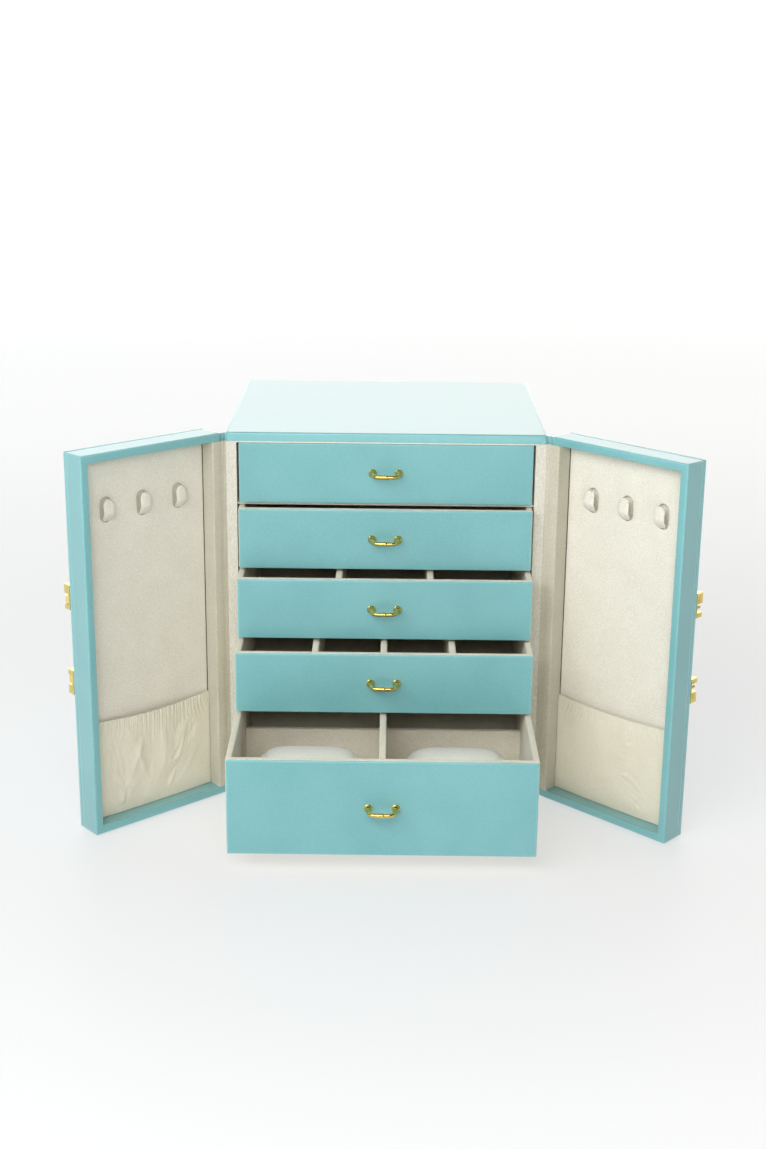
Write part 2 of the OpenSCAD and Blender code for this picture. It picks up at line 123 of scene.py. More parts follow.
def set_camera():
    """A little above eye level with the box, straight on, with a slight roll."""
    cam_data = bpy.data.cameras.new("portrait_camera")
    cam_data.sensor_fit = "VERTICAL"
    cam_data.sensor_height = 36.0
    cam_data.sensor_width = 24.0
    cam_data.lens = 53.16
    cam_data.shift_x = -0.0017
    cam_data.shift_y = 0.0017
    cam_data.clip_start = 0.05
    cam_data.clip_end = 60
    cam = bpy.data.objects.new("portrait_camera", cam_data)
    bpy.context.collection.objects.link(cam)
    pitch, yaw, roll = math.radians(17.48), math.radians(-0.11), math.radians(0.6)
    to_right, back_off, height = 2.57, 1289.3, 594.9
    level = math.cos(pitch)
    ahead = Vector((math.sin(yaw) * level, math.cos(yaw) * level, -math.sin(pitch)))
    right = Vector((math.cos(yaw), -math.sin(yaw), 0))
    up = right.cross(ahead)
    tilted_right = right * math.cos(roll) + up * math.sin(roll)
    tilted_up = -right * math.sin(roll) + up * math.cos(roll)
    turn = Matrix((tilted_right, tilted_up, -ahead)).transposed()
    place = Vector((to_right, FRONT - back_off, height)) * MM
    cam.matrix_world = Matrix.Translation(place) @ turn.to_4x4()
    bpy.context.scene.camera = cam


set_camera()


# ---------------------------------------------------------------- effects shared by materials

def new_group(name, inputs, outputs):
    group = bpy.data.node_groups.new(name, "ShaderNodeTree")
    for label, kind, value in inputs:
        socket = group.interface.new_socket(name=label, in_out="INPUT", socket_type=kind)
        if value is not None:
            socket.default_value = value
    for label, kind in outputs:
        group.interface.new_socket(name=label, in_out="OUTPUT", socket_type=kind)
    return group, group.nodes.new("NodeGroupInput"), group.nodes.new("NodeGroupOutput")


def add(tree, kind, **settings):
    node = tree.nodes.new(kind)
    for key, value in settings.items():
        if key.startswith("in_"):
            node.inputs[key[3:].replace("_", " ")].default_value = value
        else:
            setattr(node, key, value)
    return node


def math_node(tree, operation, a, b=None, c=None):
    node = tree.nodes.new("ShaderNodeMath")
    node.operation = operation
    for slot, value in enumerate((a, b, c)):
        if value is None:
            continue
        if hasattr(value, "is_output"):
            tree.links.new(value, node.inputs[slot])
        else:
            node.inputs[slot].default_value = value
    return node.outputs[0]


def tint(tree, factor, dark, light):
    node = tree.nodes.new("ShaderNodeMix")
    node.data_type = "RGBA"
    for label, value in (("Factor", factor), ("A", dark), ("B", light)):
        socket = [s for s in node.inputs if s.name == label and
                  (s.type == "RGBA" or label == "Factor" and s.type == "VALUE")][0]
        if hasattr(value, "is_output"):
            tree.links.new(value, socket)
        else:
            socket.default_value = value
    return [s for s in node.outputs if s.type == "RGBA"][0]


def leather_grain_group():
    """Fine pebbled cells of pressed leatherette, with slow waves of the board under it."""
    group, put_in, put_out = new_group(
        "leather_grain",
        [("Cell Size", "NodeSocketFloat", 1500.0), ("Waviness", "NodeSocketFloat", 0.35)],
        [("Height", "NodeSocketFloat"), ("Tone", "NodeSocketFloat")])
    where = add(group, "ShaderNodeNewGeometry").outputs["Position"]
    cells = add(group, "ShaderNodeTexVoronoi", feature="SMOOTH_F1", in_Smoothness=0.6)
    group.links.new(where, cells.inputs["Vector"])
    group.links.new(put_in.outputs["Cell Size"], cells.inputs["Scale"])
    fine = add(group, "ShaderNodeTexNoise", in_Detail=3.0, in_Roughness=0.6)
    group.links.new(where, fine.inputs["Vector"])
    group.links.new(math_node(group, "MULTIPLY", put_in.outputs["Cell Size"], 0.7), fine.inputs["Scale"])
    slow = add(group, "ShaderNodeTexNoise", in_Scale=22.0, in_Detail=2.0, in_Roughness=0.45)
    group.links.new(where, slow.inputs["Vector"])
    pebble = math_node(group, "MULTIPLY_ADD", cells.outputs["Distance"], 0.7,
                       math_node(group, "MULTIPLY", fine.outputs["Fac"], 0.5))
    height = math_node(group, "MULTIPLY_ADD", slow.outputs["Fac"], put_in.outputs["Waviness"], pebble)
    group.links.new(height, put_out.inputs["Height"])
    group.links.new(math_node(group, "MULTIPLY_ADD", slow.outputs["Fac"], 0.6,
                              math_node(group, "MULTIPLY_ADD", fine.outputs["Fac"], 1.0, -0.3)),
                    put_out.inputs["Tone"])
    return group


def suede_nap_group():
    """Brushed nap: short clumped fibres, brushed lighter and darker in soft patches."""
    group, put_in, put_out = new_group(
        "suede_nap",
        [("Fibre Size", "NodeSocketFloat", 1400.0), ("Patch Size", "NodeSocketFloat", 60.0),
         ("Upright Stretch", "NodeSocketFloat", 1.0), ("Contrast", "NodeSocketFloat", 2.8)],
        [("Height", "NodeSocketFloat"), ("Brushed", "NodeSocketFloat"), ("Fleck", "NodeSocketFloat")])
    stretch = add(group, "ShaderNodeCombineXYZ", in_X=1.0, in_Y=1.0)
    group.links.new(put_in.outputs["Upright Stretch"], stretch.inputs["Z"])
    stretched = add(group, "ShaderNodeVectorMath", operation="MULTIPLY")
    group.links.new(add(group, "ShaderNodeNewGeometry").outputs["Position"], stretched.inputs[0])
    group.links.new(stretch.outputs[0], stretched.inputs[1])
    where = stretched.outputs[0]
    clump = add(group, "ShaderNodeTexNoise", in_Detail=4.0, in_Roughness=0.65)
    group.links.new(where, clump.inputs["Vector"])
    group.links.new(put_in.outputs["Fibre Size"], clump.inputs["Scale"])
    tuft = add(group, "ShaderNodeTexVoronoi", feature="F1")
    group.links.new(where, tuft.inputs["Vector"])
    group.links.new(math_node(group, "MULTIPLY", put_in.outputs["Fibre Size"], 0.55), tuft.inputs["Scale"])
    patch = add(group, "ShaderNodeTexNoise", in_Detail=2.0, in_Roughness=0.5)
    group.links.new(where, patch.inputs["Vector"])
    group.links.new(put_in.outputs["Patch Size"], patch.inputs["Scale"])
    group.links.new(math_node(group, "MULTIPLY_ADD", tuft.outputs["Distance"], 0.5, clump.outputs["Fac"]),
                    put_out.inputs["Height"])
    group.links.new(patch.outputs["Fac"], put_out.inputs["Brushed"])
    off_middle = math_node(group, "SUBTRACT", clump.outputs["Fac"], 0.5)
    fleck = add(group, "ShaderNodeMath", operation="MULTIPLY_ADD", use_clamp=True)
    group.links.new(off_middle, fleck.inputs[0])
    group.links.new(put_in.outputs["Contrast"], fleck.inputs[1])
    fleck.inputs[2].default_value = 0.5
    group.links.new(fleck.outputs[0], put_out.inputs["Fleck"])
    return group


def edge_highlight_group():
    """Mask for a painted highlight: high on rounded edges and broken up along their length."""
    group, put_in, put_out = new_group(
        "edge_highlight",
        [("Sharpness", "NodeSocketFloat", 9.0), ("Break Up", "NodeSocketFloat", 90.0)],
        [("Mask", "NodeSocketFloat")])
    shape = add(group, "ShaderNodeNewGeometry")
    broken = add(group, "ShaderNodeTexNoise", in_Detail=3.0, in_Roughness=0.6)
    group.links.new(shape.outputs["Position"], broken.inputs["Vector"])
    group.links.new(put_in.outputs["Break Up"], broken.inputs["Scale"])
    crest = math_node(group, "SUBTRACT", shape.outputs["Pointiness"], 0.505)
    crest = math_node(group, "MULTIPLY", crest, put_in.outputs["Sharpness"])
    mask = add(group, "ShaderNodeMath", operation="MULTIPLY", use_clamp=True)
    group.links.new(crest, mask.inputs[0])
    group.links.new(math_node(group, "MULTIPLY_ADD", broken.outputs["Fac"], 0.8, 0.5), mask.inputs[1])
    group.links.new(mask.outputs[0], put_out.inputs["Mask"])
    return group


leather_grain = leather_grain_group()
suede_nap = suede_nap_group()
edge_highlight = edge_highlight_group()


def new_material(name):
    material = bpy.data.materials.new(name)
    material.use_nodes = True
    tree = material.node_tree
    shader = tree.nodes["Principled BSDF"]
    return material, tree, shader


def use_group(tree, group, **values):
    node = tree.nodes.new("ShaderNodeGroup")
    node.node_tree = group
    for label, value in values.items():
        node.inputs[label.replace("_", " ")].default_value = value
    return node


def raise_surface(tree, shader, height, strength, distance):
    bump = add(tree, "ShaderNodeBump", in_Strength=strength, in_Distance=distance)
    tree.links.new(height, bump.inputs["Height"])
    tree.links.new(bump.outputs["Normal"], shader.inputs["Normal"])


def make_leatherette(name, deep_colour, light_colour, roughness=0.42):
    material, tree, shader = new_material(name)
    grain = use_group(tree, leather_grain, Cell_Size=1500.0, Waviness=0.5)
    edge_highlight_mask = use_group(tree, edge_highlight, Sharpness=8.0, Break_Up=90.0)
    body = tint(tree, grain.outputs["Tone"], deep_colour, light_colour)
    # painted highlight: rounded edges are tinted towards a paler teal
    highlight_colour = tuple(min(1, c * 1.25 + 0.05) for c in light_colour[:3]) + (1,)
    edge = math_node(tree, "MULTIPLY", edge_highlight_mask.outputs["Mask"], 0.6)
    tree.links.new(tint(tree, edge, body, highlight_colour), shader.inputs["Base Color"])
    gloss = math_node(tree, "MULTIPLY_ADD", grain.outputs["Tone"], 0.14, roughness - 0.07)
    tree.links.new(gloss, shader.inputs["Roughness"])
    shader.inputs["Specular IOR Level"].default_value = 0.5
    shader.inputs["Coat Weight"].default_value = 0.75
    shader.inputs["Coat Roughness"].default_value = 0.34
    shader.inputs["Sheen Weight"].default_value = 0.6
    shader.inputs["Sheen Roughness"].default_value = 0.4
    raise_surface(tree, shader, grain.outputs["Height"], 0.22, 0.0003)
    return material


def make_suede(name, shadow_colour, nap_colour, fibre=1500.0, depth=0.55, sheen=0.15, stretch=1.0):
    material, tree, shader = new_material(name)
    nap = use_group(tree, suede_nap, Fibre_Size=fibre, Patch_Size=55.0, Upright_Stretch=stretch)
    mixed = math_node(tree, "MULTIPLY_ADD", nap.outputs["Fleck"], 0.75,
                      math_node(tree, "MULTIPLY", nap.outputs["Brushed"], 0.25))
    tree.links.new(tint(tree, mixed, shadow_colour, nap_colour), shader.inputs["Base Color"])
    rough = math_node(tree, "MULTIPLY_ADD", nap.outputs["Fleck"], 0.1, 0.86)
    tree.links.new(rough, shader.inputs["Roughness"])
    shader.inputs["Specular IOR Level"].default_value = 0.2
    shader.inputs["Sheen Weight"].default_value = sheen
    shader.inputs["Sheen Roughness"].default_value = 0.5
    raise_surface(tree, shader, nap.outputs["Height"], depth, 0.0004)
    return material


def make_gold(name, colour, highlight_colour, roughness=0.14):
    """Light gold plating: polished, with faint cloudy patches and paler edges that are a painted highlight.
    """
    material, tree, shader = new_material(name)
    where = add(tree, "ShaderNodeNewGeometry").outputs["Position"]
    cloud = add(tree, "ShaderNodeTexNoise", in_Scale=350.0, in_Detail=3.0)
    tree.links.new(where, cloud.inputs["Vector"])
    edge_highlight_mask = use_group(tree, edge_highlight, Sharpness=6.0, Break_Up=300.0)
    # painted highlight: rounded edges are tinted towards a paler colour
    tree.links.new(tint(tree, edge_highlight_mask.outputs["Mask"], colour, highlight_colour), shader.inputs["Base Color"])
    tree.links.new(math_node(tree, "MULTIPLY_ADD", cloud.outputs["Fac"], 0.12, roughness - 0.04),
                   shader.inputs["Roughness"])
    shader.inputs["Metallic"].default_value = 1.0
    raise_surface(tree, shader, cloud.outputs["Fac"], 0.05, 0.0002)
    return material


def make_board(name):
    """Raw fibreboard under the covering: matted fibres, no grain direction."""
    material, tree, shader = new_material(name)
    nap = use_group(tree, suede_nap, Fibre_Size=900.0, Patch_Size=30.0)
    tree.links.new(tint(tree, nap.outputs["Fleck"], (0.33, 0.22, 0.12, 1), (0.55, 0.41, 0.26, 1)),
                   shader.inputs["Base Color"])
    shader.inputs["Roughness"].default_value = 0.9
    raise_surface(tree, shader, nap.outputs["Height"], 0.4, 0.0003)
    return material


teal = make_leatherette("teal_leatherette", (0.105, 0.325, 0.340, 1), (0.200, 0.475, 0.490, 1))
suede = make_suede("cream_suede", (0.565, 0.525, 0.42, 1), (0.86, 0.84, 0.76, 1))
# darker copy of the cream suede: painted shade on the door trays' hinge-side walls and the hinge linings
hinge_shade_suede = make_suede("cream_suede_hinge_side", (0.40, 0.37, 0.27, 1), (0.66, 0.635, 0.53, 1))
# warmer copy of the cream suede: painted warm shade inside the drawers
tray_warm_shade_suede = make_suede("cream_suede_drawers", (0.57, 0.52, 0.39, 1), (0.87, 0.84, 0.73, 1))
# darker copy of the cream suede: painted shade on the side walls' front edge strips
edge_shade_suede = make_suede("cream_suede_turned_edge", (0.50, 0.47, 0.385, 1), (0.79, 0.77, 0.69, 1),
                        fibre=1900.0, stretch=0.3)
# near-black cloth: a painted shadow line in the door trays' inner corners
corner_shadow_cloth = make_suede("painted_corner_shadow", (0.05, 0.045, 0.03, 1), (0.14, 0.125, 0.09, 1),
                        depth=0.2, sheen=0.0)
stretch_cloth = make_suede("pocket_stretch_cloth", (0.58, 0.545, 0.42, 1), (0.82, 0.79, 0.66, 1),
                           fibre=2000.0, depth=0.25)
cushion_cloth = make_suede("cushion_suede", (0.66, 0.645, 0.57, 1), (0.87, 0.86, 0.80, 1),
                           fibre=1600.0, depth=0.35)
felt = make_suede("base_felt_pad", (0.05, 0.05, 0.048, 1), (0.12, 0.12, 0.115, 1), fibre=900.0, depth=0.7)
gold = make_gold("light_gold_plate", (0.64, 0.48, 0.11, 1), (0.90, 0.77, 0.34, 1), roughness=0.12)
steel = make_gold("screw_steel", (0.55, 0.55, 0.53, 1), (0.8, 0.8, 0.78, 1), roughness=0.3)
board = make_board("fibreboard")


# ---------------------------------------------------------------- making pieces

BROAD_FACE = 3.5       # faces wider than this get a border
WIDEST_BORDER = 1.2
PLAY = 0.05            # left between a door's rim frame and its outer board
FOLD_START = 0.6       # from a corner of the skin to the start of its mitred fold
LET_IN = 0.5           # how far a divider is let into the tray's walls and floor
HOOK_PLACES = (31.0, 64.0, 97.0)


def applied(obj):
    """The object's mesh with its modifiers worked in."""
    graph = bpy.context.evaluated_depsgraph_get()
    graph.update()
    mesh = bpy.data.meshes.new_from_object(obj.evaluated_get(graph))
    old = obj.data
    obj.modifiers.clear()
    obj.data = mesh
    bpy.data.meshes.remove(old)
    return obj


def object_from(name, bm):
    mesh = bpy.data.meshes.new(name)
    bm.to_mesh(mesh)
    bm.free()
    obj = bpy.data.objects.new(name, mesh)
    bpy.context.collection.objects.link(obj)
    return obj


def finish_piece(obj, body, material, stands_for=(), smooth_angle=40.0):
    """Gives a piece its finish, its smooth shading and the body it moves with."""
    obj.data.materials.clear()
    obj.data.materials.append(material)
    for face in obj.data.polygons:
        face.use_smooth = True
    obj.data.set_sharp_from_angle(angle=math.radians(smooth_angle))
    if stands_for:
        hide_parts(*([stands_for] if isinstance(stands_for, str) else stands_for))
    if body:
        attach(obj, body)
    return obj


def block_mesh(low, high, place=None):
    """An upright block, placed by a function from its own directions to the frame."""
    bm = bmesh.new()
    corners = {}
    for i in (0, 1):
        for j in (0, 1):
            for k in (0, 1):
                p = ((low, high)[i][0], (low, high)[j][1], (low, high)[k][2])
                p = place(*p) if place else Vector(p)
                corners[i, j, k] = bm.verts.new(p * MM)
    for quad in (((0, 0, 0), (0, 1, 0), (1, 1, 0), (1, 0, 0)), ((0, 0, 1), (1, 0, 1), (1, 1, 1), (0, 1, 1)),
                 ((0, 0, 0), (1, 0, 0), (1, 0, 1), (0, 0, 1)), ((0, 1, 0), (0, 1, 1), (1, 1, 1), (1, 1, 0)),
                 ((0, 0, 0), (0, 0, 1), (0, 1, 1), (0, 1, 0)), ((1, 0, 0), (1, 1, 0), (1, 1, 1), (1, 0, 1))):
        bm.faces.new([corners[c] for c in quad])
    bmesh.ops.recalc_face_normals(bm, faces=bm.faces)
    return bm


def discard(obj):
    mesh = obj.data
    bpy.data.objects.remove(obj)
    bpy.data.meshes.remove(mesh)


def combine(obj, others, operation):
    for n, bm in enumerate(others):
        other = object_from(f"{obj.name}_{operation.lower()}_{n}", bm)
        modifier = obj.modifiers.new("combined", "BOOLEAN")
        modifier.operation = operation
        modifier.solver = "EXACT"
        modifier.object = other
        applied(obj)
        discard(other)
    return obj


def carve(obj, cutters):
    return combine(obj, cutters, "DIFFERENCE")


def join_on(obj, extra):
    return combine(obj, extra, "UNION")


def skin_rows(bm, grid):
    """Faces between neighbouring rows of points."""
    for low_row, high_row in zip(grid, grid[1:]):
        for c in range(len(low_row) - 1):
            bm.faces.new((low_row[c], low_row[c + 1], high_row[c + 1], high_row[c]))


def skin_rings(bm, rings):
    """Faces between neighbouring rings of points, closed at both ends."""
    around = len(rings[0])
    for a, b in zip(rings, rings[1:]):
        for i in range(around):
            j = (i + 1) % around
            bm.faces.new((a[i], a[j], b[j], b[i]))
    bm.faces.new(rings[0])
    bm.faces.new(list(reversed(rings[-1])))


def round_edges(obj, radius, steps=3):
    """Rolls the edges over and lays a narrow border inside every broad face, so its middle stays flat."""
    modifier = obj.modifiers.new("rounded", "BEVEL")
    modifier.width = radius * MM
    modifier.segments = steps
    modifier.limit_method = "ANGLE"
    modifier.angle_limit = math.radians(35.0)
    applied(obj)
    bm = bmesh.new()
    bm.from_mesh(obj.data)
    for face in list(bm.faces):
        width = 2 * face.calc_area() / face.calc_perimeter() / MM
        if width > BROAD_FACE:
            border = min(WIDEST_BORDER, 0.3 * width) * MM
            bmesh.ops.inset_individual(bm, faces=[face], thickness=border, use_even_offset=True)
    bm.to_mesh(obj.data)
    bm.free()
    return obj


def covered_block(name, low, high, body, material, radius, stands_for=(), cutters=(), place=None):
    """A board or tray wrapped in cloth or leatherette, with its edges rolled over."""
    obj = object_from(name, block_mesh(low, high, place))
    carve(obj, cutters)
    round_edges(obj, radius)
    return finish_piece(obj, body, material, stands_for, smooth_angle=50.0)


# ---------------------------------------------------------------- cabinet

def build_cabinet():
    front_strip_y = FRONT + SUEDE
    wrap = object_from("cabinet_skin", block_mesh((-HALF_W, FRONT, felt_top), (HALF_W, BACK, CASE_TOP)))
    round_edges(wrap, 1.5, 4)
    carve(wrap, [block_mesh((-HALF_W + BAND, FRONT - 5, SILL), (HALF_W - BAND, BACK - BAND, LINTEL)),
                 block_mesh((-HALF_W - 5, FRONT - 5, SILL), (HALF_W + 5, front_strip_y, LINTEL))])
    # mitred folds where the skin is turned in at the ends of the front bands
    folds = []
    for hand in (-1, 1):
        for z0, z1 in ((CASE_TOP - FOLD_START, LINTEL), (felt_top + FOLD_START, SILL)):
            run = abs(z1 - z0)

            def slit(x, y, t, hand=hand, z0=z0, z1=z1, run=run):
                return Vector((hand * (HALF_W - FOLD_START - run * t + x), y, z0 + (z1 - z0) * t))
            folds.append(block_mesh((-0.16, FRONT - 1, -0.05), (0.16, FRONT + 0.35, 1.05), slit))
    carve(wrap, folds)
    finish_piece(wrap, "cabinet", teal, "outer_wrap", 50.0)

    lining = object_from("cabinet_suede", block_mesh(
        (-HALF_W + BAND, FRONT + 0.05, SILL), (HALF_W - BAND, BACK - BAND, LINTEL)))
    carve(lining, [block_mesh((-INNER_X, FRONT - 5, SILL + SUEDE),
                              (INNER_X, BACK - BAND - SUEDE, LINTEL - SUEDE))])
    round_edges(lining, 0.5, 3)
    finish_piece(lining, "cabinet", suede, "cabinet_lining", 50.0)
    # the side walls' front edges: suede turned over the board, slightly full
    for hand, side in ((-1, "left"), (1, "right")):
        cover = wall_edge_cover(hand)
        obj = object_from(f"cabinet_edge_suede_{side}", cover)
        # the darker suede is painted shade
        finish_piece(obj, "cabinet", edge_shade_suede, (), 60.0)

    for n in range(1, 5):
        low, high = box_mm(f"shelf_{n}")
        covered_block(f"shelf_{n}_covered", low, high, "cabinet", suede, 0.6, f"shelf_{n}")


def wall_edge_cover(hand):
    """Upright strip of suede over a side wall's front edge, with faint long creases."""
    rng = random.Random(7 if hand < 0 else 11)
    creases = [(rng.uniform(0.2, 0.8), rng.uniform(0.05, 0.14), rng.uniform(0, 6)) for _ in range(4)]
    bm = bmesh.new()
    across = 14
    rows = 90
    inner, outer = INNER_X, HALF_W - 0.15
    end_gap = 0.1
    grid = []
    for r in range(rows + 1):
        z = SILL + end_gap + (LINTEL - SILL - 2 * end_gap) * r / rows
        line = []
        for c in range(across + 1):
            t = c / across
            x = inner + (outer - inner) * t
            rise = 0.10 * math.sin(math.pi * t) ** 0.5
            for at, depth, phase in creases:
                wander = at + 0.06 * math.sin(z * 0.013 + phase)
                uneven = 0.6 + 0.4 * math.sin(z * 0.03 + phase)
                rise -= depth * math.exp(-((t - wander) / 0.05) ** 2) * uneven
            line.append(bm.verts.new(Vector((hand * x, FRONT - max(0.0, rise) + 0.02, z)) * MM))
        grid.append(line)
    skin_rows(bm, grid)
    # turned back along both long sides
    for col in (0, across):
        x = inner if col == 0 else outer
        heights = [SILL + end_gap + (LINTEL - SILL - 2 * end_gap) * r / rows for r in range(rows + 1)]
        edge = [bm.verts.new(Vector((hand * x, FRONT + SUEDE, z)) * MM) for z in heights]
        for r in range(rows):
            bm.faces.new((grid[r][col], grid[r + 1][col], edge[r + 1], edge[r]))
    bmesh.ops.recalc_face_normals(bm, faces=bm.faces)
    return bm


build_cabinet()


# ---------------------------------------------------------------- doors

def build_door(door):
    opening = block_mesh((RIM, -5, DOOR_Z0 + RIM), (DOOR_W - RIM, DOOR_T + 5, DOOR_Z1 - RIM), door.at)
    covered_block(f"{door.name}_rim_frame", (0, 0, DOOR_Z0), (DOOR_W, DOOR_T - PANEL - PLAY, DOOR_Z1),
                  door.name, teal, 0.9, f"{door.name}_frame", [opening], door.at)
    covered_block(f"{door.name}_outer_board", (0, DOOR_T - PANEL + PLAY, DOOR_Z0), (DOOR_W, DOOR_T, DOOR_Z1),
                  door.name, teal, 1.1, f"{door.name}_panel", (), door.at)
    hinge_side_lining(door)


def hinge_side_lining(door):
    """Suede over the hinge-side rim and down the tray's wall, between the upper and lower rims."""
    skin = 0.35
    profile = [(0.25, 0.2), (0.35, -skin * 0.9), (0.9, -skin), (RIM - 0.5, -skin), (RIM + 0.05, -skin * 0.6),
               (RIM + skin, 0.2), (RIM + skin, 0.9), (RIM + skin, TRAY)]
    bm = bmesh.new()
    rows = 60
    grid = []
    for r in range(rows + 1):
        f = r / rows
        line = []
        for along, deep in profile:
            z = (DOOR_Z0 + RIM) * (1 - f) + (DOOR_Z1 - RIM) * f
            own = 0 if door.hand < 0 else 9
            ripple = 0.05 * noise.noise(Vector((along * 0.4, deep * 0.2, z * 0.06 + own)))
            line.append(bm.verts.new(door.at(along + ripple, deep + ripple, z) * MM))
        grid.append(line)
    skin_rows(bm, grid)
    bmesh.ops.recalc_face_normals(bm, faces=bm.faces)
    obj = object_from(f"{door.name}_hinge_side_suede", bm)
    # the darker suede is painted shade
    finish_piece(obj, door.name, hinge_shade_suede, (), 60.0)

    # a thin dark bead in the tray's inner corner on the hinge side: painted shadow where the wall meets the
    # panel
    bm = bmesh.new()
    shadow_steps, shadow_radius = 30, 0.42
    shadow_length = DOOR_Z1 - DOOR_Z0 - 2 * RIM
    path = [door.at(RIM + 0.6, TRAY - 0.1, DOOR_Z0 + RIM + shadow_length * r / shadow_steps)
            for r in range(shadow_steps + 1)]
    lathe_path(bm, path, [shadow_radius] * len(path), 10, door.along)
    bmesh.ops.recalc_face_normals(bm, faces=bm.faces)
    finish_piece(object_from(f"{door.name}_tray_seam", bm), door.name, corner_shadow_cloth, (), 60.0)


def lathe_path(bm, path, radii, around=20, side=Vector((0, 0, 1))):
    """A round bar along a path, with its own radius at each point, closed at both ends."""
    rings = []
    for n, (p, r) in enumerate(zip(path, radii)):
        ahead = (path[min(n + 1, len(path) - 1)] - path[max(n - 1, 0)]).normalized()
        other = ahead.cross(side).normalized()
        rings.append([bm.verts.new((p + (side * math.cos(a) + other * math.sin(a)) * r) * MM)
                      for a in (2 * math.pi * i / around for i in range(around))])
    skin_rings(bm, rings)


def hook_out(a, reach):
    """How far a hook's tongue stands off its board, from its foot (0) to its tip (1)."""
    crest = 0.45
    if a < crest:
        return reach * math.sin(a / crest * math.pi / 2)
    return reach * (1 - 0.28 * ((a - crest) / (1 - crest)) ** 1.6)


def build_hooks(door):
    """Three tongues, wrapped in suede, that leave the board low down and bow outwards."""
    width, height, thick, reach = 9.8, 17.6, 1.1, 5.6
    low, high = box_mm(f"{door.name}_hooks")
    middle_z = (low.z + high.z) / 2
    bm = bmesh.new()
    for mid in HOOK_PLACES:
        rows, across = 30, 12
        sheets = []
        for face in (0, 1):
            grid = []
            for r in range(rows + 1):
                a = r / rows
                z = -height / 2 + a * height
                half = width / 2
                top_start = height / 2 - width / 2
                if z > top_start:
                    half = math.sqrt(max(0.0, (width / 2) ** 2 - (z - top_start) ** 2))
                    half = max(half, 0.8)
                elif z < -height / 2 + 3:
                    half = 3.2 + (width / 2 - 3.2) * (z + height / 2) / 3
                line = []
                for c in range(across + 1):
                    t = c / across * 2 - 1
                    edge = 1 - abs(t) ** 6 * 0.85
                    off = hook_out(a, reach) + thick / 2
                    off += (0.5 if face else -0.5) * thick * edge + 0.5 * (1 - abs(t) ** 2) - 0.5
                    spot = door.at(mid + t * half, TRAY - max(off, 0.0), middle_z + z)
                    line.append(bm.verts.new(spot * MM))
                grid.append(line)
            sheets.append(grid)
        for grid in sheets:
            skin_rows(bm, grid)
        inner, outer = sheets
        for r in range(rows):
            for c in (0, across):
                bm.faces.new((inner[r][c], inner[r + 1][c], outer[r + 1][c], outer[r][c]))
        for c in range(across):
            for r in (0, rows):
                bm.faces.new((inner[r][c], inner[r][c + 1], outer[r][c + 1], outer[r][c]))
    bmesh.ops.recalc_face_normals(bm, faces=bm.faces)
    obj = object_from(f"{door.name}_necklace_hooks", bm)
    finish_piece(obj, door.name, suede, f"{door.name}_hooks", 60.0)


for door in DOORS:
    build_door(door)
    build_hooks(door)


# ---------------------------------------------------------------- cloth hinges

def build_hinge_cloth(door):
    """Flexible lining and skin between a side wall's edge and the door, with small upright puckers."""
    hand = door.hand
    cabinet_edge = Vector((hand * (HALF_W - 0.1), FRONT + 0.1, 0))
    # the hinge lining takes the darker suede, which is painted shade
    for label, material, node, deep_in, near, sag, short in (
            ("lining", hinge_shade_suede, "hinge_lining_", 0.0, 0.0, 0.5, RIM),
            ("skin", teal, "hinge_leather_", 1.3, 1.9, 1.3, 0.8)):
        start = cabinet_edge + Vector((hand * 0.1, near, 0))
        finish = door.at(0.3, deep_in, 0)
        bm = bmesh.new()
        rows, across = 120, 10
        grid = []
        for r in range(rows + 1):
            f = r / rows
            z = DOOR_Z0 + short + (DOOR_Z1 - DOOR_Z0 - 2 * short) * f
            line = []
            for c in range(across + 1):
                t = c / across
                p = start.lerp(finish, t)
                push = sag * math.sin(math.pi * t)
                near_end = math.exp(-(1 - f) * 14) + 0.5 * math.exp(-f * 14)
                pucker = 0.35 * math.sin(math.pi * t) * noise.noise(Vector((t * 5, z * 0.035, 3.0 * hand)))
                pucker += 0.5 * near_end * math.sin(math.pi * t) * math.sin(t * 14 + z * 0.08)
                p = p + Vector((0, push + pucker, 0)) + Vector((0, 0, z))
                line.append(bm.verts.new(p * MM))
            grid.append(line)
        skin_rows(bm, grid)
        bmesh.ops.recalc_face_normals(bm, faces=bm.faces)
        obj = object_from(f"hinge_{label}_cloth_{door.side}", bm)
        thick = obj.modifiers.new("cloth", "SOLIDIFY")
        thick.thickness = 0.5 * MM
        thick.offset = 0
        applied(obj)
        finish_piece(obj, None, material, node + door.side, 60.0)
        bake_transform(obj)


for door in DOORS:
    build_hinge_cloth(door)


# ---------------------------------------------------------------- drawers

def build_tray(k):
    low, high = box_mm(f"drawer_{k}_tray")
    face_low, face_high = box_mm(f"drawer_{k}_front")
    body = f"drawer_{k}"
    covered_block(f"{body}_lined_tray", low, high, body, tray_warm_shade_suede, 0.9, f"{body}_tray",
                  [block_mesh((low.x + DRAWER_WALL, low.y + DRAWER_WALL, low.z + DRAWER_FLOOR),
                              (high.x - DRAWER_WALL, high.y - DRAWER_WALL, high.z + 5))])
    covered_block(f"{body}_face_board", face_low, face_high, body, teal, 0.7, f"{body}_front")


